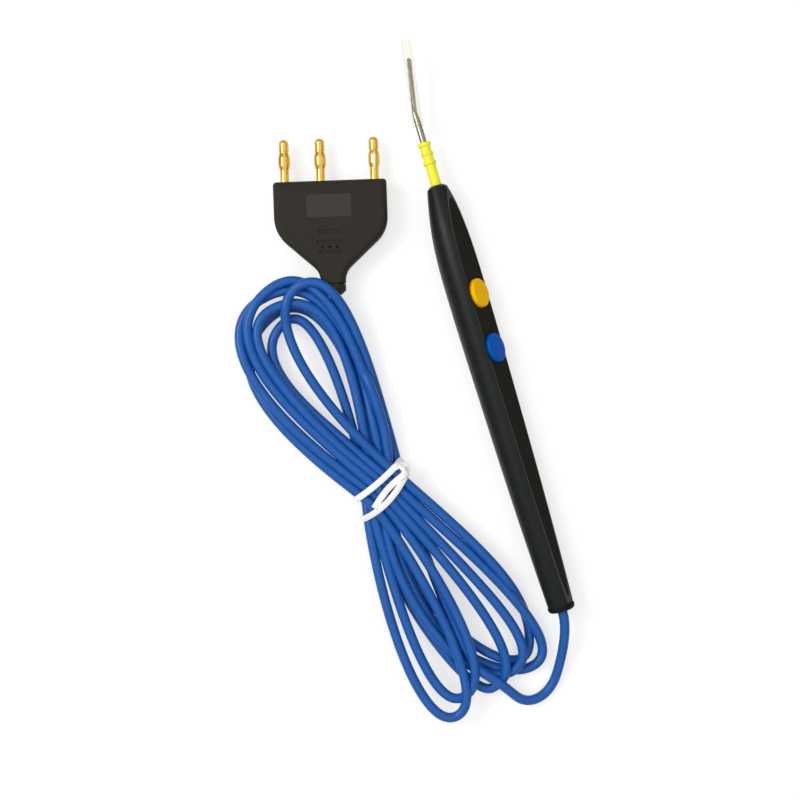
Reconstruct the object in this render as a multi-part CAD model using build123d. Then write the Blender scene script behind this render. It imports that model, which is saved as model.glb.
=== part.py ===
"""Electrosurgical pencil with its cord, hank and three-pin plug, lying on a table.

Millimetres, +Z up. The handle is drawn with its nose face at x = 0, its axis along X and its
button panel facing +Z, then rolled onto its side and set down with the middle of its underside
at the origin. The plug is drawn with its pin face at x = 0 and its pins along +X.
"""
import math
import os

from build123d import *

# Handle outline: distances run back from the nose face
handle_length = 154.0
nose_radius = 3.45
nose_chamfer = 0.9
throat_distance = 7.0
throat_radius = 5.05
shoulder_distance = 17.5
shoulder_radius = 6.75
belly_distance = 38.0
belly_radius = 7.6
grip_distance = 71.0
grip_radius = 7.15
tail_distance = 103.0
tail_radius = 6.45
rear_radius = 4.6
wall = 1.5
roll_angle = 57.0

# Button panel
panel_height = 4.1
ridge_round = 0.4
rim_width = 0.6
cover_recess = 0.1
cover_thickness = 1.0
cover_front = 3.2
cover_end_wall = 3.0
cover_fit = 0.05
front_wall = 14.0
rear_wall = 12.0

# Buttons and switches
cut_distance = 40.5
coag_distance = 60.5
button_radius = 5.2
button_rise = 1.3
button_edge_round = 0.8
button_fit = 0.2
flange_overlap = 0.25
flange_thickness = 0.9
flange_room = 0.3
button_travel = 0.6
stem_radius = 1.1
stem_length = 1.6
well_margin = 0.75
well_depth = 0.12
rest_gap = 0.05
dome_radius = 3.0
dome_height = 0.7
dome_sheet = 0.15

# Switch board and its ribs
board_rear_margin = 15.0
board_width = 8.4
board_thickness = 1.0
board_room = 0.2
rib_thickness = 1.2
rib_inset = 3.0

# Electrode: rod, moulded hub and bent blade
rod_radius = 1.18
rod_plug_length = 25.0
hub_radius = 1.9
hub_length = 15.8
hub_seat_depth = 2.0
spigot_radius = 1.65
spigot_length = 7.0
hub_fit = 0.05
mould_gap = 0.02
ring_rises = (0.42, 0.35, 0.5)
ring_widths = (1.4, 1.0, 1.2)
ring_setbacks = (0.0, 3.6, 6.8)
rod_exposed = 11.3
wedge_length = 5.5
blade_length = 18.8
blade_thickness = 0.5
blade_bend = 12.0

# Clear tube over the blade
protector_bore = 1.65
protector_wall = 0.25
protector_length = 30.6
protector_lap = 5.3
protector_lift = 0.6
protector_tilt = 9.5

# Collet in the nose that grips the rod
socket_wall = 0.5
socket_front_gap = 0.5
socket_end_gap = 1.5
socket_floor = 1.0
socket_slit = 0.5
socket_slit_length = 8.0
rod_fit = 0.05
tab_width = 2.0
tab_thickness = 0.4
tab_foot = 1.0
tab_run = 4.0

# Cord and what holds its end in the handle
cord_radius = 1.75
cord_fit = 0.05
bushing_flange = 2.0
bushing_lip = 0.25
bushing_round = 1.5
bushing_plug_radius = 3.0
bushing_end_gap = 0.4
bushing_fit = 0.03
ferrule_wall = 0.4
ferrule_length = 4.0
strip_length = 2.0
core_radius = 0.5
core_ring_radius = 0.95
core_pitch = 2.3
core_lap = 4.0
core_straight = 14.0
core_bend_radius = 40.0

# Three-pin plug
pin_pitch_short = 12.7
pin_pitch_long = 19.05
plug_half_width = 20.0
plug_side = 18.0
plug_length = 36.0
plug_thickness = 10.5
neck_radius = 4.4
neck_side = 3.8
plug_corner_round = 1.3
plug_shoulder_round = 12.0
plug_hollow_round = 7.0
neck_share = 0.9
plug_edge_round = 2.4
back_round = 60.0
relief_groove = 0.5
relief_groove_width = 0.5
relief_ring_width = 2.2
relief_tip_radius = 2.9
relief_tip_length = 1.4
label_length = 8.3
label_width = 16.2
label_front = 4.8
mark_offset = 0.6
label_depth = 0.2
bar_setbacks = (18.2, 21.8, 25.3)
bar_lengths = (7.8, 9.4, 7.8)
bar_width = 1.4
mark_depth = 0.5
dimple_setback = 23.55
dimple_pitch = 2.6
dimple_radius = 0.6
dimple_depth = 0.8
cord_socket_depth = 9.0
plug_angle = -14.4
plug_place = (64.3, 35.3)

# Slotted pin, measured from the plug's face to its tip
pin_length = 15.2
pin_cap_length = 4.2
pin_cap_radius = 1.7
pin_shank_length = 3.9
pin_shank_radius = 1.5
crown_radius = 2.0
crown_length = 2.0
pin_leaf = 0.5
slot_width = 0.76
slot_length = 6.4
pin_root_length = 8.0
collar_setback = 3.0
collar_length = 1.5
collar_radius = 2.2

# Cord hank, drawn as its outer shape: each lobe wraps round these circles (x, y, radius)
hank_height = 9.0
hank_edge_round = 3.0
hank_waist = (-45.2, 49.0, 9.6)
upper_lobe = ((19.0, 68.0, 15.5), (21.0, 53.5, 12.5))
lower_lobe = ((-119.5, 49.0, 10.0), (-113.5, 20.0, 9.5))
upper_window = ((8.0, 58.5, 6.0), (-18.0, 54.0, 1.5))
lower_window = ((-104.0, 45.0, 4.0), (-80.0, 47.5, 1.5))
hank_gap = 0.3

# Twist tie: two flat turns round the hank's waist (x, y, direction), then the twisted ends
tie_turns = ((-41.6, 49.2, -71.7), (-48.9, 47.7, -63.7))
tie_span = 20.0
tie_width = 2.0
tie_thickness = 0.9
tie_corner = 3.5
tie_knot_radius = 1.1
tie_tail_end = (-50.4, 52.7)

# Route of the cord's free stretch, from the bushing into the hank
lead_straight = 8.0
lead_route = (
    (-124.8, 4.6, 3.6),
    (-133.2, 14.5, 1.8),
    (-130.5, 27.5, 1.8),
    (-120.5, 34.2, 1.8),
)
tail_reach = 6.0
tail_end = (5.5, 44.6, 5.0)

# Levels and stations worked out from the sizes above
cover_top = panel_height - cover_recess
cover_bottom = cover_top - cover_thickness
flange_radius = button_radius + button_fit + flange_overlap
flange_top = cover_bottom - rest_gap
flange_bottom = flange_top - flange_thickness
stem_bottom = flange_bottom - stem_length
board_top = stem_bottom - rest_gap - dome_height
board_bottom = board_top - board_thickness
well_radius = button_radius + well_margin
board_rear = coag_distance + board_rear_margin
cavity_rear = handle_length - rear_wall
button_xs = (-cut_distance, -coag_distance)
bend_x = hub_length + rod_exposed
socket_radius = rod_radius + rod_fit + socket_wall
socket_front = spigot_length + socket_front_gap
socket_rear = rod_plug_length + socket_end_gap + socket_floor
board_front = socket_rear + tab_run
ferrule_front = cavity_rear - ferrule_length
ferrule_radius = cord_radius + mould_gap + ferrule_wall
bushing_plug_length = cover_end_wall - bushing_end_gap
strip_x = -(ferrule_front - strip_length)
exit_x = -(handle_length + bushing_flange)
relief_ring_end = plug_length + relief_groove_width + relief_ring_width
neck_end = relief_ring_end + relief_tip_length
big = 2 * handle_length


def slab(x0, x1, z0, z1, width=40.0):
    """Box between two stations and two levels, centred on the axis."""
    return Pos((x0 + x1) / 2, 0, (z0 + z1) / 2) * Box(x1 - x0, width, z1 - z0)


def rod_along_x(radius, x0, x1):
    """Cylinder on the X axis between two stations."""
    return Pos((x0 + x1) / 2, 0, 0) * Rot(0, 90, 0) * Cylinder(radius, x1 - x0)


def post(radius, x, z0, z1):
    """Upright cylinder between two levels."""
    return Pos(x, 0, (z0 + z1) / 2) * Cylinder(radius, z1 - z0)


def turned(points):
    """Solid of revolution about X from a closed outline of straight runs (x, radius)."""
    return revolve(Plane.XZ * make_face(Polyline(*points, close=True)), Axis.X)


def handle_form(inset):
    """The handle's turned shape, set in from its outside by the given amount."""
    stations = (
        (0, nose_radius),
        (throat_distance, throat_radius),
        (shoulder_distance, shoulder_radius),
        (belly_distance, belly_radius),
        (grip_distance, grip_radius),
        (tail_distance, tail_radius),
        (handle_length, rear_radius),
    )
    curve = [(-distance, radius - inset) for distance, radius in stations]
    ends = [curve[-1], (-handle_length, 0), (0, 0), curve[0]]
    return revolve(Plane.XZ * make_face(Spline(*curve) + Polyline(*ends)), Axis.X)


def panel_insert(inset, end_gap):
    """Everything that lies inside the panel's rim, from the cover's underside up."""
    front = -cover_front - end_gap
    rear = -(handle_length - cover_end_wall) + end_gap
    insert = handle_form(inset) & slab(rear, front, cover_bottom, big)
    return insert


def button_wells():
    """Shallow round recess about each button, from its floor up."""
    floor = cover_top - well_depth
    return [post(well_radius, x, floor, panel_height + button_rise) for x in button_xs]


def make_body_shell():
    shell = handle_form(0)
    shell = chamfer(shell.edges().filter_by(GeomType.CIRCLE).sort_by(Axis.X)[-1], nose_chamfer)
    shell -= slab(-handle_length, 0, panel_height, big)
    facet = shell.faces().filter_by(Plane.XY).sort_by(Axis.Z)[-1]
    shell = fillet([edge for edge in facet.edges() if edge.length > wall], ridge_round)
    shell -= panel_insert(rim_width, 0)
    cavity = handle_form(wall) & slab(-cavity_rear, -front_wall, -big, panel_height)
    ribs_front = (board_front + rib_inset, (cut_distance + coag_distance) / 2, board_rear - rib_inset)
    for distance in ribs_front:
        cavity -= slab(-distance - rib_thickness / 2, -distance + rib_thickness / 2, -big, board_bottom)
    cradle = socket_rear - rib_inset
    cavity -= slab(-cradle - rib_thickness / 2, -cradle + rib_thickness / 2, -big, 0)
    shell -= cavity
    shell -= slab(
        -board_rear - board_room,
        -board_front + board_room,
        board_bottom,
        board_top,
        board_width + 2 * board_room,
    )
    for x in button_xs:
        low = flange_bottom - button_travel - flange_room
        shell -= post(flange_radius + flange_room, x, low, cover_bottom)
    shell -= button_wells()
    shell -= rod_along_x(hub_radius + hub_fit, -hub_seat_depth, 0)
    shell -= rod_along_x(spigot_radius + hub_fit, -spigot_length, 0)
    shell -= rod_along_x(socket_radius + mould_gap, -socket_rear, -spigot_length)
    shell -= rod_along_x(cord_radius + cord_fit, -handle_length, -cavity_rear)
    bushing_end = bushing_plug_length - handle_length
    shell -= rod_along_x(bushing_plug_radius + bushing_fit, -handle_length, bushing_end)
    return shell


def make_top_cover():
    cover = panel_insert(rim_width + cover_fit, cover_fit)
    cover &= slab(-handle_length, 0, cover_bottom, cover_top)
    for x in button_xs:
        cover -= post(button_radius + button_fit, x, cover_bottom, cover_top)
    return cover - button_wells()


def make_button(x):
    top = panel_height + button_rise
    cap = post(button_radius, x, flange_bottom, top)
    cap = fillet(cap.edges().sort_by(Axis.Z)[-1], button_edge_round)
    flange = post(flange_radius, x, flange_bottom, flange_top)
    stem = post(stem_radius, x, stem_bottom, flange_bottom)
    return cap + flange + stem


def make_dome(x):
    """Thin sprung cap, its rim on the board and its crown under the button's stem."""
    radius = (dome_radius**2 + dome_height**2) / (2 * dome_height)
    centre = Pos(x, 0, board_top + dome_height - radius)
    shell = centre * Sphere(radius) - centre * Sphere(radius - dome_sheet)
    return shell & slab(x - dome_radius, x + dome_radius, board_top, board_top + dome_height)


def make_switch_board():
    return slab(-board_rear, -board_front, board_bottom, board_top, board_width)


def make_electrode_socket():
    socket = rod_along_x(socket_radius, -socket_rear, -socket_front)
    socket -= rod_along_x(rod_radius + rod_fit, -socket_rear + socket_floor, -socket_front)
    slit_end = -socket_front - socket_slit_length
    slit = slab(slit_end, -socket_front, -socket_slit / 2, socket_slit / 2)
    return socket - slit - Rot(90, 0, 0) * slit


def make_socket_tab():
    """Strip bent from the collet's closed end down onto the board."""
    foot_end = -board_front - tab_foot
    line = Polyline(
        (-socket_rear, 0),
        (-board_front, 0),
        (-board_front, board_top),
        (foot_end, board_top),
        (foot_end, board_top + tab_thickness),
        (-board_front - tab_thickness, board_top + tab_thickness),
        (-board_front - tab_thickness, tab_thickness),
        (-socket_rear, tab_thickness),
        close=True,
    )
    return extrude(Plane.XZ * make_face(line), tab_width / 2, both=True)


def make_electrode_hub():
    points = [(-spigot_length, 0), (-spigot_length, spigot_radius), (-hub_seat_depth, spigot_radius)]
    points += [(-hub_seat_depth, hub_radius), (hub_length, hub_radius), (hub_length, 0)]
    hub = turned(points)
    for rise, width, setback in zip(ring_rises, ring_widths, ring_setbacks):
        front = hub_length - setback
        ring = rod_along_x(hub_radius + rise, front - width, front)
        hub += fillet(ring.edges().filter_by(GeomType.CIRCLE), rise / 2)
    return hub - rod_along_x(rod_radius + mould_gap, -spigot_length, hub_length)


def make_electrode_blade():
    rod = rod_along_x(rod_radius, -rod_plug_length, bend_x)
    half = blade_thickness / 2
    wedge = Polyline(
        (bend_x - wedge_length, rod_radius),
        (bend_x, half),
        (bend_x, -half),
        (bend_x - wedge_length, -rod_radius),
        (-rod_plug_length, -rod_radius),
        (-rod_plug_length, rod_radius),
        close=True,
    )
    rod &= extrude(Plane.XZ * make_face(wedge), 2 * rod_radius, both=True)
    width = 2 * math.sqrt(rod_radius**2 - half**2)
    outline = Rectangle(blade_length - width / 2, width, align=(Align.MIN, Align.CENTER))
    outline += Pos(blade_length - width / 2, 0) * Circle(width / 2)
    blade = extrude(outline, half, both=True)
    blade += Rot(90, 0, 0) * Cylinder(half, width)
    return rod + Pos(bend_x, 0, 0) * Rot(0, -blade_bend, 0) * blade


def protector_place():
    """Where the clear tube's axis crosses the bend, and the way that it leans."""
    return Pos(bend_x, 0, protector_lift) * Rot(0, -protector_tilt, 0)


def make_tip_protector():
    front = protector_length - protector_lap
    tube = rod_along_x(protector_bore + protector_wall, -protector_lap, front)
    tube -= rod_along_x(protector_bore, -protector_lap, front)
    return protector_place() * tube


def make_rear_bushing():
    flange = rod_along_x(rear_radius + bushing_lip, exit_x, -handle_length)
    flange = fillet(flange.edges().filter_by(GeomType.CIRCLE).sort_by(Axis.X)[0], bushing_round)
    plug_end = bushing_plug_length - handle_length
    bushing = flange + rod_along_x(bushing_plug_radius, -handle_length, plug_end)
    return bushing - rod_along_x(cord_radius + cord_fit, exit_x, plug_end)


def make_cord_ferrule():
    ring = rod_along_x(ferrule_radius, -cavity_rear, -ferrule_front)
    return ring - rod_along_x(cord_radius + mould_gap, -cavity_rear, -ferrule_front)


def make_cord_root():
    """The cord's end inside the handle."""
    return rod_along_x(cord_radius, exit_x, strip_x)


def make_core(number):
    """One of the three cores, from the stripped cord to the top of the board."""
    turn = math.radians(90 + 120 * number)
    y0 = core_ring_radius * math.cos(turn)
    z0 = core_ring_radius * math.sin(turn)
    y1 = (0, -core_pitch, core_pitch)[number]
    z1 = board_top + core_radius
    end_x = -board_rear + core_lap
    route = FilletPolyline(
        (strip_x, y0, z0),
        (strip_x + core_straight, y0, z0),
        (-board_rear - core_straight, y1, z1),
        (end_x, y1, z1),
        radius=core_bend_radius,
    )
    section = Plane(origin=route @ 0, z_dir=route % 0) * Circle(core_radius)
    return sweep(section, path=route)


def plug_outline():
    """Plug seen from above: straight sides, round shoulders, hollow run into the neck."""
    corners = [(0, 0), (0, plug_half_width), (-plug_side, plug_half_width)]
    corners += [(neck_side - plug_length, neck_radius), (-plug_length, neck_radius), (-plug_length, 0)]
    half_turn = math.atan2(plug_half_width - neck_radius, plug_length - neck_side - plug_side) / 2
    hollow = min(plug_hollow_round, neck_share * neck_side / math.tan(half_turn))
    radii = [plug_corner_round, plug_shoulder_round, hollow]
    edges = FilletPolyline(*corners[:5], radius=radii) + Polyline(corners[4], corners[5], corners[0])
    half = make_face(edges)
    return half + mirror(half, Plane.XZ)


def pin_ys():
    """The three pins across the plug, the wide gap on the -Y side."""
    half = (pin_pitch_short + pin_pitch_long) / 2
    return (half, half - pin_pitch_short, -half)


def make_pin(turn):
    """Turned pin with a domed cap and a hollow, slotted bulge."""
    leaf_end = pin_length - pin_cap_length
    middle = (pin_shank_length + leaf_end) / 2
    crown_start = middle - crown_length / 2
    crown_end = middle + crown_length / 2

    def bulge(inset, start, end):
        low = pin_shank_radius - inset
        high = crown_radius - inset
        back = Spline((start, low), (crown_start, high), tangents=((1, 0), (1, 0)))
        front = Spline((crown_end, high), (end, low), tangents=((1, 0), (1, 0)))
        run = Line((crown_start, high), (crown_end, high))
        base = Polyline((end, low), (end, 0), (start, 0), (start, low))
        return revolve(Plane.XZ * make_face(back + run + front + base), Axis.X)

    pin = bulge(0, pin_shank_length, leaf_end)
    pin += rod_along_x(pin_shank_radius, -pin_root_length, pin_shank_length)
    pin += rod_along_x(collar_radius, -collar_setback - collar_length, -collar_setback)
    cap = rod_along_x(pin_cap_radius, leaf_end, pin_length)
    tip = cap.edges().filter_by(GeomType.CIRCLE).sort_by(Axis.X)[-1]
    pin += fillet(tip, pin_cap_radius - 2 * pin_leaf / 5)
    pin -= bulge(pin_leaf, pin_shank_length + pin_leaf, leaf_end - pin_leaf)
    side = SagittaArc((middle - slot_length / 2, 0), (middle + slot_length / 2, 0), slot_width / 2)
    slot = make_face(side + mirror(side, Plane.XZ))
    for angle in (turn, turn + 90):
        pin -= Rot(angle, 0, 0) * extrude(slot, crown_radius, both=True)
    return pin


def pin_pocket():
    """Room in the plug for one pin's buried root."""
    pocket = rod_along_x(pin_shank_radius + mould_gap, -pin_root_length, 0)
    start = -collar_setback - collar_length
    return pocket + rod_along_x(collar_radius + mould_gap, start, -collar_setback)


def back_height(setback):
    """Height of the plug's back above its middle, flat at first and then falling to the neck."""
    fall = max(0, setback - plug_side) / (plug_length - plug_side)
    return plug_thickness / 2 - fall * (plug_thickness / 2 - neck_radius)


def make_plug_body():
    body = extrude(plug_outline(), plug_thickness / 2, both=True)
    half = plug_thickness / 2
    back = FilletPolyline((0, half), (-plug_side, half), (-plug_length, neck_radius), radius=back_round)
    side = make_face(back + Polyline((-plug_length, neck_radius), (-plug_length, 0), (0, 0), (0, half)))
    side += mirror(side, Plane.XZ)
    body &= extrude(Plane.XZ * side, plug_half_width, both=True)
    rims = [edge for edge in body.edges() if abs(edge.center().Z) > neck_radius - mark_depth]
    rims = [edge for edge in rims if abs(edge.center().Y) > mark_depth]
    body = fillet(rims, plug_edge_round)
    points = [(-plug_length, 0), (-plug_length, neck_radius - relief_groove)]
    points += [(-plug_length - relief_groove_width, neck_radius - relief_groove)]
    points += [(-plug_length - relief_groove_width, neck_radius), (-relief_ring_end, neck_radius)]
    points += [(-neck_end, relief_tip_radius), (-neck_end, 0)]
    body += turned(points)
    body -= rod_along_x(cord_radius + cord_fit, -neck_end, cord_socket_depth - neck_end)
    for y in pin_ys():
        body -= Pos(0, y, 0) * pin_pocket()
    label = Pos(-label_front - label_length / 2, mark_offset, half - label_depth)
    body -= label * extrude(Rectangle(label_length, label_width), label_depth)
    for setback, length in zip(bar_setbacks, bar_lengths):
        bar = Rot(0, 0, 90) * SlotOverall(length, bar_width)
        place = Pos(-setback, mark_offset, back_height(setback) - mark_depth)
        body -= place * extrude(bar, plug_thickness)
    floor = back_height(dimple_setback) - dimple_depth
    for step in (-1, 0, 1):
        place = Pos(-dimple_setback, mark_offset + step * dimple_pitch, floor)
        body -= place * extrude(Circle(dimple_radius), plug_thickness)
    return body


def plug_stand():
    """Where the plug lies, flat on its back."""
    return Pos(*plug_place, plug_thickness / 2) * Rot(0, 0, plug_angle)


def wrap(circles):
    """Outline pulled tight round circles given as (x, y, radius)."""
    edges = ShapeList()
    for x, y, radius in circles:
        edges += (Pos(x, y) * Circle(radius)).edges()
    return make_hull(edges)


def make_cord_hank():
    outline = wrap((hank_waist,) + upper_lobe) + wrap((hank_waist,) + lower_lobe)
    outline -= wrap(upper_window)
    outline -= wrap(lower_window)
    hank = extrude(outline, hank_height)
    hank = fillet([edge for edge in hank.edges() if abs(edge.tangent_at(0.5).Z) < 0.5], hank_edge_round)
    neck_room = neck_radius + hank_gap
    return hank - plug_stand() * slab(-neck_end - hank_gap, 0, -big, big, 2 * neck_room)


def make_twist_tie():
    """Two flat turns round the waist, twisted together at one side, with one end laid back."""
    height = hank_height + tie_thickness
    outside = RectangleRounded(tie_span + 2 * tie_thickness, height, tie_corner)
    inside = RectangleRounded(tie_span, height - 2 * tie_thickness, tie_corner - tie_thickness)
    turn = extrude(Plane.XZ * (outside - inside), tie_width / 2, both=True)
    places = [Pos(x, y, height / 2) * Rot(0, 0, angle) for x, y, angle in tie_turns]
    side = Pos((tie_span + tie_thickness) / 2, 0, height / 2 - tie_thickness)
    twist = Line(*[(place * side).position for place in places])
    tail = Line(twist @ 0.5, (*tie_tail_end, (twist @ 0.5).Z))
    knot = sweep(Plane(origin=twist @ 0, z_dir=twist % 0) * Circle(tie_knot_radius), path=twist)
    flat = Plane(origin=tail @ 0, x_dir=(0, 0, 1), z_dir=tail % 0) * Rectangle(tie_thickness, tie_width)
    return places[0] * turn + places[1] * turn + knot + Pos(0, 0, tie_thickness / 2) * sweep(flat, path=tail)


def tube(points, name):
    """Round cord along straight runs joined by tangent arcs."""
    runs = [Vector(*b) - Vector(*a) for a, b in zip(points, points[1:])]
    radii = []
    for before, after in zip(runs, runs[1:]):
        half_turn = math.radians(before.get_angle(after)) / 2
        radii.append(0.45 * min(before.length, after.length) / math.tan(half_turn))
    print(name, "bend radii", [round(radius, 1) for radius in radii])
    route = FilletPolyline(*points, radius=radii)
    solid = sweep(Plane(origin=route @ 0, z_dir=route % 0) * Circle(cord_radius), path=route)
    print(name, "volume", round(solid.volume, 1), "of", round(route.length * math.pi * cord_radius**2, 1))
    return solid


def build_pencil():
    """The handle and all that it carries, rolled onto its side and set down at the origin."""
    pieces = {
        "body_shell": make_body_shell(),
        "top_cover": make_top_cover(),
        "cut_button": make_button(-cut_distance),
        "coag_button": make_button(-coag_distance),
        "cut_dome": make_dome(-cut_distance),
        "coag_dome": make_dome(-coag_distance),
        "switch_board": make_switch_board(),
        "electrode_socket": make_electrode_socket(),
        "socket_tab": make_socket_tab(),
        "electrode_hub": make_electrode_hub(),
        "electrode_blade": make_electrode_blade(),
        "tip_protector": make_tip_protector(),
        "rear_bushing": make_rear_bushing(),
        "cord_ferrule": make_cord_ferrule(),
        "cord_root": make_cord_root(),
        "active_wire": make_core(0),
        "cut_wire": make_core(1),
        "coag_wire": make_core(2),
    }
    roll = Rot(roll_angle, 0, 0)
    box = Compound([roll * piece for piece in pieces.values()]).bounding_box()
    place = Pos(-box.center().X, -box.center().Y, -box.min.Z) * roll
    return {name: place * piece for name, piece in pieces.items()}, place


def build_plug():
    """The plug, its pins and the end of the cord in its neck."""
    place = plug_stand()
    pieces = {"plug_body": make_plug_body()}
    for name, y, turn in zip(("cut_pin", "coag_pin", "active_pin"), pin_ys(), (45, 45, 0)):
        pieces[name] = Pos(0, y, 0) * make_pin(turn)
    return {name: place * piece for name, piece in pieces.items()}, place


def point_at(place, x):
    """Point on the placed X axis, as a tuple."""
    return tuple((place * Pos(x, 0, 0)).position)


pencil, pencil_place = build_pencil()
plug, plug_at = build_plug()
lead = [point_at(pencil_place, exit_x), point_at(pencil_place, exit_x - lead_straight), *lead_route]
tail = [point_at(plug_at, cord_socket_depth - neck_end), point_at(plug_at, -neck_end - tail_reach), tail_end]
cord = {
    "cord_lead": tube(lead, "lead"),
    "cord_hank": make_cord_hank(),
    "cord_tail": tube(tail, "tail"),
    "twist_tie": make_twist_tie(),
}
os.makedirs("parts", exist_ok=True)
for node, solid in {**pencil, **plug, **cord}.items():
    export_step(solid, f"parts/{node}.step")
    print(node, len(solid.solids()), "solid", round(solid.volume, 2), "mm3")
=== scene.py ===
"""Looks for the electrosurgical pencil: camera, light, cord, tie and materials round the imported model.

Lengths in the tables are millimetres in the part's frame; Blender objects are in metres.
"""
import math

import bpy
import numpy as np
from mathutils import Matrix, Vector


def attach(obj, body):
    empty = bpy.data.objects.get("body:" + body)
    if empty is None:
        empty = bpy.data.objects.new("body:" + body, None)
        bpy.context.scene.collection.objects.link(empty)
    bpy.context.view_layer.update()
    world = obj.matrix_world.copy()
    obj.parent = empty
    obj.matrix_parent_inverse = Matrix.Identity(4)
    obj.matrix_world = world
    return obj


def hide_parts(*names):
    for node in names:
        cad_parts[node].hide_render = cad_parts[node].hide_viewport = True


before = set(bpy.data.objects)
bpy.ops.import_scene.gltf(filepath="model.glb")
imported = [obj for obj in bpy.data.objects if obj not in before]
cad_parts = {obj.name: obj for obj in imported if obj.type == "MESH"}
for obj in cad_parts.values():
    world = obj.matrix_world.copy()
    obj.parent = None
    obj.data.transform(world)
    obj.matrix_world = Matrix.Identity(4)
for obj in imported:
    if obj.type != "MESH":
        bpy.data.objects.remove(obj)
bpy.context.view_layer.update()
MM = 0.001

# Camera straight above the table, as in the photograph
camera_place = (-16.81, 33.45, 620.0)
camera_turn = -106.5
camera_lens = 78.27
camera_sensor = 36.0

# Cord: the free stretch from the handle, and the one that goes through the plug's neck
cord_radius = 1.75
lead_points = (
    (-104.18, -0.27, 7.6),
    (-108.7, -0.27, 7.6),
    (-119.6, 3.9, 4.2),
    (-131.2, 11.1, 1.1),
    (-133.0, 21.3, 3.2),
    (-123.6, 27.2, 6.2),
    (-117.0, 33.0, 6.4),
)
tail_points = (
    (5.5, 44.6, 5.0),
    (19.65, 46.77, 5.25),
    (34.18, 43.03, 5.25),
)
neck_end = (26.2, 45.07, 5.25)
neck_radius = 4.3

# Hank: strands cross under the tie, each at a place along it and with a heading in degrees.
# Rising ones run from the lower loops to the upper ones, falling ones lie on top and run back.
tie_centre = (-45.6, 48.6)
tie_heading = -66.4
rising = ((8, 0), (3, -22), (-4, -20), (-6, -12), (2.5, -10), (-5, -7), (0.5, -24))
falling = ((8, -148), (0, -154), (-6, -146), (3.5, -147), (-2.5, -141), (2.5, -154))

# Loops in winding order: reach from the tie, tip x and y, heading at the tip, reach before and
# after the tip, reach home to the tie, and the layer that the loop lies in
upper_loops = (
    (27, 32, 54, 92, 17, 13, 60, 5),
    (9, 33, 68, 115, 35, 34, 14, 4),
    (32, 23, 72, 121, 31, 30, 20, 0),
    (11, 21, 65, 115, 18, 20, 35, 1),
    (8, 31, 71, 106, 39, 18, 60, 2),
    (8, 27, 66, 97, 31, 29, 8, 3),
)
lower_loops = (
    (38, -113, 14, -200, 19, 20, 41, 0),
    (60, -124, 31, -258, 14, 10, 24, 0.8),
    (8, -129, 45, -251, 16, 15, 38, 5),
    (25, -121, 17, -268, 23, 11, 60, 0.2),
    (8, -123, 40, -245, 17, 20, 8, 4),
    (43, -120, 22, -250, 16, 19, 31, 0.4),
)
layer_step = 1.9
rising_step = 0.5
falling_lift = 8.0
falling_step = 0.9
samples = 24

# Ends of the hank: reach at the tie, and at the other end as a share of the cord's next run
run_in_reach = 30
run_in_share = 0.8
run_out_reach = 20
run_out_share = 1.2

# Settling: rounds, fall in a round, and thickness of a pressed strand as a share of the cord's
settle_rounds = 260
settle_fall = 0.1
squash = 0.92

# Points beside each other along the cord that don't push, points at its ends that ignore the lead and
# the plug, height against a rod's middle below which a strand runs under it, and the least distance
neighbours = 7
free_ends = 5
under_from = -0.8
touching = 1e-6

# Shares of each move that a round makes, and passes that ease the moves along the cord
lift_share = 0.25
stay_share = 0.5
slide_share = 0.5
slide_kept = 0.97
slide_passes = 3
height_passes = 2

# Half lengths of the hank that rest on the tie, and in which strands may slide sideways
tie_rest = 9.0
slide_half = 30.0

# Twist tie: each band as a curve along the hank (offset, slope, bow) against the place across it
tie_width = 2.3
tie_thickness = 0.8
tie_bands = ((3.0, 0.0, 0.006), (-4.1, 0.135, 0.0155))

# Laid-back end of the tie: places across and along the hank
tie_tail = (
    (8.0, 3.5),
    (10.2, 3.2),
    (11.8, 2.3),
    (12.1, 0.8),
    (11.4, -0.4),
    (9.2, -0.6),
    (6.2, -0.5),
    (1.9, -0.8),
    (-1.8, -1.6),
    (-5.9, -2.9),
)

# Points of the laid-back end, passes and rounds that smooth it, points of a band, how far beside a
# band the end lies on it, and points round a strand and along the hank
tail_count = 60
tail_passes = 8
tail_rounds = 40
band_count = 96
band_reach = 1.6
circle_count = 24
strand_count = 2500

# Cross-section of the tie: points round it, and powers that square off its faces and its edges
strip_ring = 12
face_power = 0.5
edge_power = 0.7

# Knot of the tie: its two ends, radius of each wire, turns, lean of the turns and points along it
knot_spots = ((10.9, 2.2), (10.2, -1.2))
knot_radius = 0.55
knot_turns = 1.6
knot_lean = 0.3
knot_count = 40

# Light: the sky from the horizon to overhead, and the lamp with its power in watts and size in metres
sky_low = 0.2
sky_high = 1.0
key_power = 5.0
key_size = 0.5
key_place = (370.0, 650.0, 800.0)
key_aim = (-20.0, 30.0, 0.0)

# Table: side in metres, tone and lift where it is seen, tone where it lights the object
floor_side = 40
floor_rough = 0.9
floor_shown = 0.46
floor_lift = 0.61
floor_white = 0.7

# Plug's label area, left bare: middle of its face, turn, half size and where its edge starts to fade
label_middle = (55.78, 38.11, 10.5)
label_turn = -14.4
label_half = (4.15, 8.1, 3.0)
label_fade = 0.97

# Surfaces: detail of spots and grain, range of the noise that is used, spread of gloss, relief
spot_detail = 4.0
grain_detail = 2.0
noise_low = 0.3
noise_high = 0.7
gloss_spread = 0.06
relief_strength = 0.4
tube_tint = (0.95, 0.93, 0.88)
tube_ior = 1.3


def heading(degrees):
    """Unit vector in the plane of the table."""
    return np.array((math.cos(math.radians(degrees)), math.sin(math.radians(degrees))))


def cubic(start, out, before, end):
    """Points of a cubic stretch between two ends, without the last one."""
    t = np.linspace(0, 1, samples, endpoint=False)[:, None]
    return (1 - t) ** 3 * start + 3 * t * (1 - t) ** 2 * out + 3 * t * t * (1 - t) * before + t**3 * end


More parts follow.
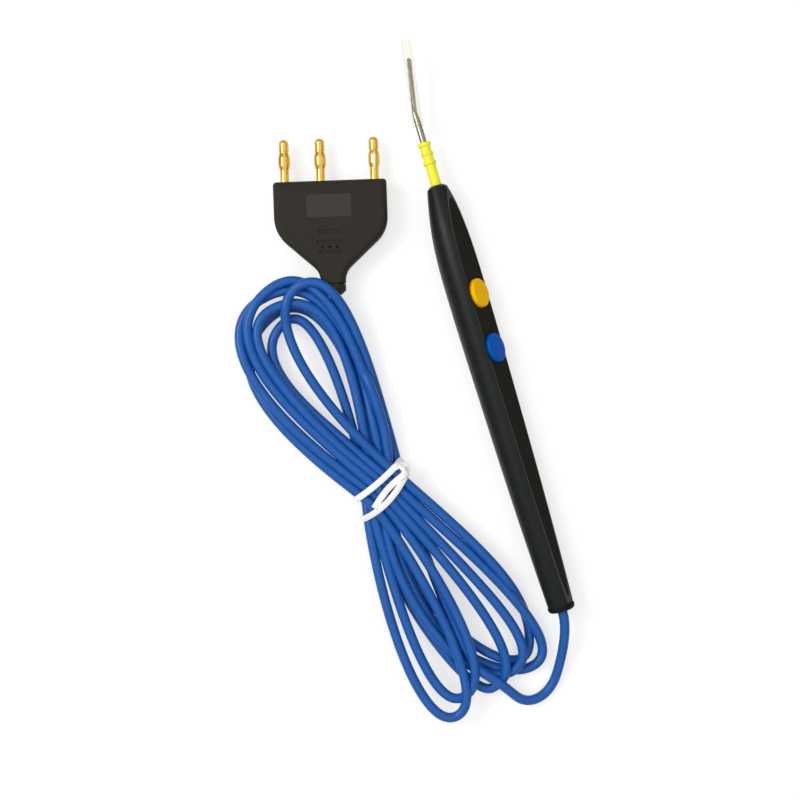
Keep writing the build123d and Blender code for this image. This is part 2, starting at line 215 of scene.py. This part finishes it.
def crossing(row):
    """Place under the tie of one crossing strand."""
    return np.array(tie_centre) + row[0] * heading(tie_heading)


def ramp(first, last):
    """Eased heights between two levels."""
    t = np.linspace(0, 1, samples, endpoint=False)
    return first + (last - first) * t * t * (3 - 2 * t)


def half_loop(leave, back, loop, low, high):
    """One loop from the tie round its tip and home, with starting heights."""
    reach, x, y, turn, before, after, home, layer = loop
    tip = np.array((x, y))
    start, end = crossing(leave), crossing(back)
    out = cubic(start, start + reach * heading(leave[1]), tip - before * heading(turn), tip)
    into = cubic(tip, tip + after * heading(turn), end - home * heading(back[1]), end)
    level = cord_radius + layer_step * layer
    heights = np.concatenate((ramp(low, level), ramp(level, high)))
    return np.column_stack((np.concatenate((out, into)), heights))


def hank_route():
    """The wound turns from the lead's end to the tail's start, before they settle."""
    lows = [cord_radius + rising_step * k for k in range(len(rising))]
    highs = [falling_lift + falling_step * loop[-1] for loop in upper_loops]
    first = np.array(lead_points[-1])
    way = np.array(lead_points[-1][:2]) - np.array(lead_points[-2][:2])
    tie = crossing(rising[0])
    tie_side = tie - run_in_reach * heading(rising[0][1])
    run_in = cubic(first[:2], first[:2] + run_in_share * way, tie_side, tie)
    parts = [np.column_stack((run_in, ramp(first[2], lows[0])))]
    for k, (upper, lower) in enumerate(zip(upper_loops, lower_loops)):
        parts.append(half_loop(rising[k], falling[k], upper, lows[k], highs[k]))
        parts.append(half_loop(falling[k], rising[k + 1], lower, highs[k], lows[k + 1]))
    last = np.array(tail_points[0])
    way = np.array(tail_points[1][:2]) - last[:2]
    tie = crossing(rising[-1])
    tie_side = tie + run_out_reach * heading(rising[-1][1])
    run_out = cubic(tie, tie_side, last[:2] - run_out_share * way, last[:2])
    parts.append(np.column_stack((run_out, ramp(lows[-1], last[2]))))
    return np.concatenate(parts)[1:]


def tie_frame(points):
    """Places across and along the hank, from the tie's centre, of points in the part's frame."""
    offset = np.asarray(points)[:, :2] - np.array(tie_centre)
    across = heading(tie_heading)
    return offset @ across, offset @ np.array((-across[1], across[0]))


def tie_place(across, along, height):
    """Points in the part's frame from places across and along the hank."""
    way = heading(tie_heading)
    flat = np.array(tie_centre) + np.outer(across, way) + np.outer(along, np.array((-way[1], way[0])))
    return np.column_stack((flat, height))


def eased(values, passes):
    """Values averaged with their neighbours along a run."""
    values = values.copy()
    for _ in range(passes):
        values[1:-1] = 0.5 * values[1:-1] + 0.25 * (values[:-2] + values[2:])
    return values


def lift_from(points, fixed):
    """How far points of a cord have to rise or sink to clear straight rods (end, end, radius)."""
    rise = np.zeros(len(points))
    sink = np.zeros(len(points))
    for start, end, radius in fixed:
        start, way = np.array(start), np.array(end) - np.array(start)
        t = np.clip((points[:, :2] - start[:2]) @ way[:2] / (way[:2] @ way[:2]), 0, 1)
        gap = points - start - t[:, None] * way
        need = np.sqrt(np.clip((cord_radius + radius) ** 2 - (gap[:, :2] ** 2).sum(1), 0, None))
        over = gap[:, 2] > under_from
        rise = np.maximum(rise, np.where(over, np.clip(need - gap[:, 2], 0, None), 0))
        sink = np.maximum(sink, np.where(over, 0, np.clip(need + gap[:, 2], 0, None)))
    return rise - sink


def settle(route):
    """Lets the turns down onto the table and onto each other; the tie presses them a little flat."""
    width = 2 * cord_radius * squash
    points = route.copy()
    along = tie_frame(route)[1]
    ground = cord_radius + tie_thickness * np.exp(-((along / tie_rest) ** 4))
    loose = slide_share * np.exp(-((along / slide_half) ** 4))[:, None]
    fixed = [(a, b, cord_radius) for a, b in zip(lead_points[:-2], lead_points[1:-1])]
    fixed += [(tail_points[1], tail_points[2], cord_radius), (neck_end, tail_points[2], neck_radius)]
    order = np.arange(len(points))
    near = np.abs(np.subtract.outer(order, order)) < neighbours
    for _ in range(settle_rounds):
        gap = points[:, None, :] - points[None, :, :]
        flat = (gap[:, :, :2] ** 2).sum(2)
        need = np.sqrt(np.clip(width**2 - flat, 0, None))
        lack = np.where(near, 0, np.clip(need - np.abs(gap[:, :, 2]), 0, None))
        over = gap[:, :, 2] >= 0
        lift = lift_share * (np.where(over, lack, 0).max(1) - np.where(over, 0, lack).max(1))
        distance = np.sqrt(flat + gap[:, :, 2] ** 2) + touching
        push = np.where(near, 0, np.clip(width - distance, 0, None) / distance)
        side = (gap[:, :, :2] * push[:, :, None]).sum(1) / np.maximum((push > 0).sum(1), 1)[:, None]
        stay = lift_from(points, fixed)
        stay[:free_ends] = 0
        stay[-free_ends:] = 0
        moved = points[:, :2] + side * loose - route[:, :2]
        points[1:-1, :2] = (route[:, :2] + slide_kept * eased(moved, slide_passes))[1:-1]
        points[1:-1, 2] += (eased(lift - settle_fall, 1) + stay_share * stay)[1:-1]
        points[:, 2] = eased(points[:, 2], height_passes)
        points[0], points[-1] = route[0], route[-1]
        points[:, 2] = np.maximum(points[:, 2], ground)
    return points


def spline_object(name, points, radius, order=3):
    """Round NURBS cord on a run of control points; the points carry its radius, in metres."""
    curve = bpy.data.curves.new(name, "CURVE")
    curve.dimensions = "3D"
    curve.bevel_depth = 1.0
    curve.bevel_resolution = 5
    curve.resolution_u = 8
    curve.use_fill_caps = True
    spline = curve.splines.new("NURBS")
    spline.points.add(len(points) - 1)
    for point, place in zip(spline.points, points):
        point.co = (*[value * MM for value in place], 1)
        point.radius = radius * MM
    spline.order_u = order
    spline.use_endpoint_u = True
    piece = bpy.data.objects.new(name, curve)
    bpy.context.scene.collection.objects.link(piece)
    return piece


def make_cord():
    """The whole cord as one spline, and the settled turns that the tie goes round."""
    turns = settle(hank_route())
    route = [*lead_points, *turns, *tail_points]
    return spline_object("cord", route, cord_radius), turns


def hull(points):
    """Outline pulled tight round points in a plane, anticlockwise."""
    rows = sorted(set(map(tuple, np.round(points, 4))))

    def chain(order):
        kept = []
        for point in order:
            while len(kept) > 1:
                (ax, ay), (bx, by) = kept[-2], kept[-1]
                if (bx - ax) * (point[1] - ay) - (by - ay) * (point[0] - ax) > 0:
                    break
                kept.pop()
            kept.append(point)
        return kept[:-1]

    return np.array(chain(rows) + chain(rows[::-1]))


def even(points, count, closed):
    """Points spaced evenly along a run of straight stretches."""
    run = np.vstack((points, points[:1])) if closed else np.asarray(points, float)
    far = np.concatenate(([0], np.cumsum(np.sqrt((np.diff(run, axis=0) ** 2).sum(1)))))
    stops = np.linspace(0, far[-1], count, endpoint=not closed)
    return np.column_stack([np.interp(stops, far, run[:, axis]) for axis in range(run.shape[1])])


def ribbon(name, path, outward, width, thickness, closed):
    """Flat strip with rounded edges swept along a path, its face turned along outward."""
    count = len(path)
    turn = np.linspace(0, 2 * np.pi, strip_ring, endpoint=False)
    flat = np.sign(np.cos(turn)) * np.abs(np.cos(turn)) ** face_power * width / 2
    thick = np.sign(np.sin(turn)) * np.abs(np.sin(turn)) ** edge_power * thickness / 2
    ahead = np.roll(path, -1, 0) - np.roll(path, 1, 0)
    if not closed:
        ahead[0], ahead[-1] = path[1] - path[0], path[-1] - path[-2]
    ahead /= np.linalg.norm(ahead, axis=1)[:, None]
    side = np.cross(ahead, outward)
    side /= np.linalg.norm(side, axis=1)[:, None]
    up = np.cross(side, ahead)
    rows = path[:, None, :] + flat[None, :, None] * side[:, None, :] + thick[None, :, None] * up[:, None, :]
    faces = []
    total = count * strip_ring
    for i in range(count if closed else count - 1):
        for k in range(strip_ring):
            a, b = i * strip_ring + k, i * strip_ring + (k + 1) % strip_ring
            faces.append((a, b, (b + strip_ring) % total, (a + strip_ring) % total))
    if not closed:
        faces += [tuple(range(strip_ring))[::-1], tuple(range(total - strip_ring, total))]
    mesh = bpy.data.meshes.new(name)
    mesh.from_pydata([tuple(point) for point in rows.reshape(-1, 3) * MM], [], faces)
    mesh.validate()
    for face in mesh.polygons:
        face.use_smooth = True
    piece = bpy.data.objects.new(name, mesh)
    bpy.context.scene.collection.objects.link(piece)
    return piece


def make_tie_band(name, band, turns):
    """One turn of the tie, drawn tight round the strands that it crosses."""
    across, along = tie_frame(turns)
    offset, slope, bow = band
    off = along - (offset + slope * across + bow * across**2)
    hit = np.flatnonzero(off[:-1] * off[1:] <= 0)
    share = (off[hit] / (off[hit] - off[hit + 1]))[:, None]
    rows = np.column_stack((across, turns[:, 2]))
    centres = rows[hit] + share * (rows[hit + 1] - rows[hit])
    turn = np.linspace(0, 2 * np.pi, circle_count, endpoint=False)
    circle = (cord_radius + tie_thickness / 2) * np.column_stack((np.cos(turn), np.sin(turn)))
    section = even(hull((centres[:, None, :] + circle[None, :, :]).reshape(-1, 2)), band_count, True)
    place = offset + slope * section[:, 0] + bow * section[:, 0] ** 2
    path = tie_place(section[:, 0], place, np.maximum(section[:, 1], tie_thickness / 2))
    return ribbon(name, path, path - path.mean(0), tie_width, tie_thickness, True), path


def make_tie_tail(turns, bands):
    """The end of the tie, turned round at the side and laid back over the strands."""
    flat = even(eased(even(tie_tail, tail_count, False), tail_passes), tail_count, False)
    path = tie_place(flat[:, 0], flat[:, 1], np.zeros(tail_count))
    height = np.zeros(tail_count)
    lain_on = (
        (even(turns, strand_count, False), cord_radius, cord_radius),
        (np.vstack(bands), band_reach, tie_thickness / 2),
    )
    for below, reach, top in lain_on:
        gap = ((path[:, None, :2] - below[None, :, :2]) ** 2).sum(2)
        crown = below[None, :, 2] + top * np.sqrt(np.clip(1 - gap / reach**2, 0, None))
        height = np.maximum(height, np.where(gap < reach**2, crown, 0).max(1))
    height += tie_thickness / 2
    for _ in range(tail_rounds):
        height[1:-1] = np.maximum(height[1:-1], (height[:-2] + height[2:]) / 2)
    path[:, 2] = height
    upward = np.tile((0, 0, 1.0), (tail_count, 1))
    return ribbon("tie_tail", path, upward, tie_width, tie_thickness, False), path


def make_knot(tail):
    """The two ends of the tie twisted together at the side of the hank."""
    spots = np.array(knot_spots)
    ends = tie_place(spots[:, 0], spots[:, 1], np.full(2, tail[len(tail) // 3, 2]))
    t = np.linspace(0, 1, knot_count)[:, None]
    line = ends[0] + (ends[1] - ends[0]) * t
    pieces = []
    for number in range(2):
        phase = 2 * np.pi * knot_turns * t[:, 0] + np.pi * number
        swing = np.column_stack((knot_lean * np.cos(phase), np.cos(phase), np.sin(phase)))
        pieces.append(spline_object(f"tie_twist_{number + 1}", line + knot_radius * swing, knot_radius))
    return pieces


def srgb(red, green, blue):
    """Linear colour from screen values."""
    values = [value / 255 for value in (red, green, blue)]
    return tuple(v / 12.92 if v <= 0.04045 else ((v + 0.055) / 1.055) ** 2.4 for v in values)


def scaled(colour, factor):
    """Colour made lighter or darker, with full cover."""
    return (*[min(value * factor, 1.0) for value in colour], 1)


def finish(
    name, colour, roughness, specular=0.5, metallic=0.0,
    mottle=0.08, spots=400.0, grain=4000.0, bump=0.02,
):
    """Material with mottled colour, uneven gloss and a fine grain; sizes are spots and grains a metre."""
    material = bpy.data.materials.new(name)
    material.use_nodes = True
    tree = material.node_tree
    shader = tree.nodes["Principled BSDF"]
    shader.inputs["Metallic"].default_value = metallic
    shader.inputs["Specular IOR Level"].default_value = specular
    place = tree.nodes.new("ShaderNodeTexCoord")
    coarse = tree.nodes.new("ShaderNodeTexNoise")
    coarse.inputs["Scale"].default_value = spots
    coarse.inputs["Detail"].default_value = spot_detail
    fine = tree.nodes.new("ShaderNodeTexNoise")
    fine.inputs["Scale"].default_value = grain
    fine.inputs["Detail"].default_value = grain_detail
    tint = tree.nodes.new("ShaderNodeValToRGB")
    tint.color_ramp.elements[0].position = noise_low
    tint.color_ramp.elements[1].position = noise_high
    tint.color_ramp.elements[0].color = scaled(colour, 1 - mottle)
    tint.color_ramp.elements[1].color = scaled(colour, 1 + mottle)
    gloss = tree.nodes.new("ShaderNodeMapRange")
    gloss.inputs["From Min"].default_value = noise_low
    gloss.inputs["From Max"].default_value = noise_high
    gloss.inputs["To Min"].default_value = roughness - gloss_spread
    gloss.inputs["To Max"].default_value = roughness + gloss_spread
    relief = tree.nodes.new("ShaderNodeBump")
    relief.inputs["Strength"].default_value = relief_strength
    relief.inputs["Distance"].default_value = bump * MM
    link = tree.links.new
    link(place.outputs["Object"], coarse.inputs["Vector"])
    link(place.outputs["Object"], fine.inputs["Vector"])
    link(coarse.outputs["Fac"], tint.inputs["Fac"])
    link(tint.outputs["Color"], shader.inputs["Base Color"])
    link(coarse.outputs["Fac"], gloss.inputs["Value"])
    link(gloss.outputs["Result"], shader.inputs["Roughness"])
    link(fine.outputs["Fac"], relief.inputs["Height"])
    link(relief.outputs["Normal"], shader.inputs["Normal"])
    return material


def edge_tint(material, tint):
    """Darker reflections towards the edges of a bright metal."""
    material.node_tree.nodes["Principled BSDF"].inputs["Specular Tint"].default_value = (*tint, 1)
    return material


def clear_plastic():
    """See-through plastic of the tip protector."""
    material = finish("clear_tube", tube_tint, 0.12, mottle=0.02, bump=0.005)
    shader = material.node_tree.nodes["Principled BSDF"]
    shader.inputs["Transmission Weight"].default_value = 1.0
    shader.inputs["IOR"].default_value = tube_ior
    return material


def lighten_label(material, colour):
    """Gives the plug's label area a colour of its own."""
    tree = material.node_tree
    shader = tree.nodes["Principled BSDF"]
    base = shader.inputs["Base Color"].links[0].from_socket
    place = tree.nodes.new("ShaderNodeTexCoord")
    area = tree.nodes.new("ShaderNodeMapping")
    area.vector_type = "TEXTURE"
    area.inputs["Location"].default_value = [value * MM for value in label_middle]
    area.inputs["Rotation"].default_value = (0, 0, math.radians(label_turn))
    area.inputs["Scale"].default_value = [value * MM for value in label_half]
    size = tree.nodes.new("ShaderNodeVectorMath")
    size.operation = "ABSOLUTE"
    split = tree.nodes.new("ShaderNodeSeparateXYZ")
    link = tree.links.new
    link(place.outputs["Object"], area.inputs["Vector"])
    link(area.outputs["Vector"], size.inputs[0])
    link(size.outputs["Vector"], split.inputs["Vector"])
    furthest = split.outputs["X"]
    for axis in ("Y", "Z"):
        larger = tree.nodes.new("ShaderNodeMath")
        larger.operation = "MAXIMUM"
        link(furthest, larger.inputs[0])
        link(split.outputs[axis], larger.inputs[1])
        furthest = larger.outputs["Value"]
    inside = tree.nodes.new("ShaderNodeMapRange")
    inside.inputs["From Min"].default_value = 1.0
    inside.inputs["From Max"].default_value = label_fade
    mix = tree.nodes.new("ShaderNodeMix")
    mix.data_type = "RGBA"
    mix.inputs["B"].default_value = (*colour, 1)
    link(furthest, inside.inputs["Value"])
    link(inside.outputs["Result"], mix.inputs["Factor"])
    link(base, mix.inputs["A"])
    link(mix.outputs["Result"], shader.inputs["Base Color"])
    return material


def paint(material, *names):
    """Gives CAD nodes or pieces a material."""
    for name in names:
        data = bpy.data.objects[name].data
        data.materials.clear()
        data.materials.append(material)


def add_camera():
    """Camera that looks straight down."""
    data = bpy.data.cameras.new("camera")
    data.lens = camera_lens
    data.sensor_width = camera_sensor
    camera = bpy.data.objects.new("camera", data)
    camera.location = [value * MM for value in camera_place]
    camera.rotation_euler = (0, 0, math.radians(camera_turn))
    bpy.context.scene.collection.objects.link(camera)
    bpy.context.scene.camera = camera


def add_floor():
    """White table that keeps the object's shadow."""
    bpy.ops.mesh.primitive_plane_add(size=floor_side, location=(0, 0, 0))
    floor = bpy.context.object
    floor.name = "floor"
    material = bpy.data.materials.new("table")
    material.use_nodes = True
    tree = material.node_tree
    shader = tree.nodes["Principled BSDF"]
    shader.inputs["Roughness"].default_value = floor_rough
    shader.inputs["Specular IOR Level"].default_value = 0.0
    shader.inputs["Emission Color"].default_value = (*[floor_lift] * 3, 1)
    rays = tree.nodes.new("ShaderNodeLightPath")
    shown = rays.outputs["Is Camera Ray"]
    for kind in ("Is Glossy Ray", "Is Transmission Ray"):
        either = tree.nodes.new("ShaderNodeMath")
        either.operation = "MAXIMUM"
        tree.links.new(shown, either.inputs[0])
        tree.links.new(rays.outputs[kind], either.inputs[1])
        shown = either.outputs["Value"]
    tone = tree.nodes.new("ShaderNodeMapRange")
    tone.inputs["To Min"].default_value = floor_white
    tone.inputs["To Max"].default_value = floor_shown
    tree.links.new(shown, tone.inputs["Value"])
    tree.links.new(tone.outputs["Result"], shader.inputs["Base Color"])
    tree.links.new(shown, shader.inputs["Emission Strength"])
    floor.data.materials.append(material)


def add_light():
    """Soft sky, brighter overhead, and a broad lamp at the left of the picture."""
    world = bpy.data.worlds.new("world")
    bpy.context.scene.world = world
    world.use_nodes = True
    tree = world.node_tree
    place = tree.nodes.new("ShaderNodeTexCoord")
    split = tree.nodes.new("ShaderNodeSeparateXYZ")
    level = tree.nodes.new("ShaderNodeMapRange")
    level.interpolation_type = "SMOOTHSTEP"
    level.inputs["To Min"].default_value = sky_low
    level.inputs["To Max"].default_value = sky_high
    back = tree.nodes["Background"]
    back.inputs["Color"].default_value = (1, 1, 1, 1)
    tree.links.new(place.outputs["Generated"], split.inputs["Vector"])
    tree.links.new(split.outputs["Z"], level.inputs["Value"])
    tree.links.new(level.outputs["Result"], back.inputs["Strength"])
    data = bpy.data.lights.new("key", "AREA")
    data.shape = "SQUARE"
    data.size = key_size
    data.energy = key_power
    key = bpy.data.objects.new("key", data)
    key.location = [value * MM for value in key_place]
    aim = Vector([value * MM for value in key_aim]) - key.location
    key.rotation_euler = aim.to_track_quat("-Z", "Y").to_euler()
    bpy.context.scene.collection.objects.link(key)


# Cord and tie, which ride on the handle
cord, turns = make_cord()
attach(cord, "handle")
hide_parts("cord_lead", "cord_hank", "cord_tail")
upper_band, upper_path = make_tie_band("tie_upper", tie_bands[0], turns)
lower_band, lower_path = make_tie_band("tie_lower", tie_bands[1], turns)
laid_back, laid_path = make_tie_tail(turns, (upper_path, lower_path))
tie_pieces = [upper_band, lower_band, laid_back, *make_knot(laid_path)]
for piece in tie_pieces:
    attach(piece, "handle")
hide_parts("twist_tie")

# Materials: name, colour, roughness and gloss, then the pieces that have them
paint(finish("cord_blue", srgb(26, 88, 166), 0.33, 0.28, mottle=0.06), "cord", "cord_root")
paint(finish("handle_black", srgb(26, 29, 28), 0.36, 0.16, grain=6000.0, bump=0.03), "body_shell")
paint(finish("panel_black", srgb(33, 30, 25), 0.55, 0.02), "top_cover")
paint(finish("bushing_rubber", srgb(22, 22, 21), 0.6, 0.1), "rear_bushing")
plug_rubber = finish(
    "plug_rubber", srgb(46, 43, 37), 0.6, 0.12, mottle=0.14, spots=1500.0, grain=3000.0, bump=0.04
)
paint(lighten_label(plug_rubber, srgb(60, 57, 51)), "plug_body")
paint(finish("amber", srgb(255, 192, 0), 0.35, 0.025, mottle=0.03), "cut_button")
paint(finish("button_blue", srgb(4, 88, 184), 0.35, 0.025, mottle=0.03), "coag_button")
paint(finish("hub_yellow", srgb(244, 240, 58), 0.4, 0.3, mottle=0.03), "electrode_hub")
gold = finish("gold_plate", srgb(240, 196, 98), 0.13, metallic=1.0, mottle=0.05)
paint(edge_tint(gold, (0.4, 0.25, 0.1)), "cut_pin", "coag_pin", "active_pin")
steel = finish("steel", srgb(156, 152, 140), 0.22, metallic=1.0)
paint(edge_tint(steel, (0.35, 0.35, 0.35)), "electrode_blade", "cut_dome", "coag_dome")
brass = finish("brass", srgb(200, 170, 95), 0.3, metallic=1.0)
paint(brass, "electrode_socket", "socket_tab", "cord_ferrule")
paint(finish("board_green", srgb(40, 96, 60), 0.5), "switch_board")
paint(finish("core_red", srgb(188, 44, 40), 0.5), "active_wire")
paint(finish("core_white", srgb(230, 230, 228), 0.5), "cut_wire")
paint(finish("core_black", srgb(38, 38, 38), 0.5), "coag_wire")
tie_white = finish("tie_white", srgb(248, 248, 246), 0.5, 0.2, mottle=0.02)
paint(tie_white, *[piece.name for piece in tie_pieces])
paint(clear_plastic(), "tip_protector")

# Camera, table and light
add_camera()
add_floor()
add_light()

# Plain colours, and the scene brought up to date
bpy.context.scene.view_settings.view_transform = "Standard"
bpy.context.view_layer.update()
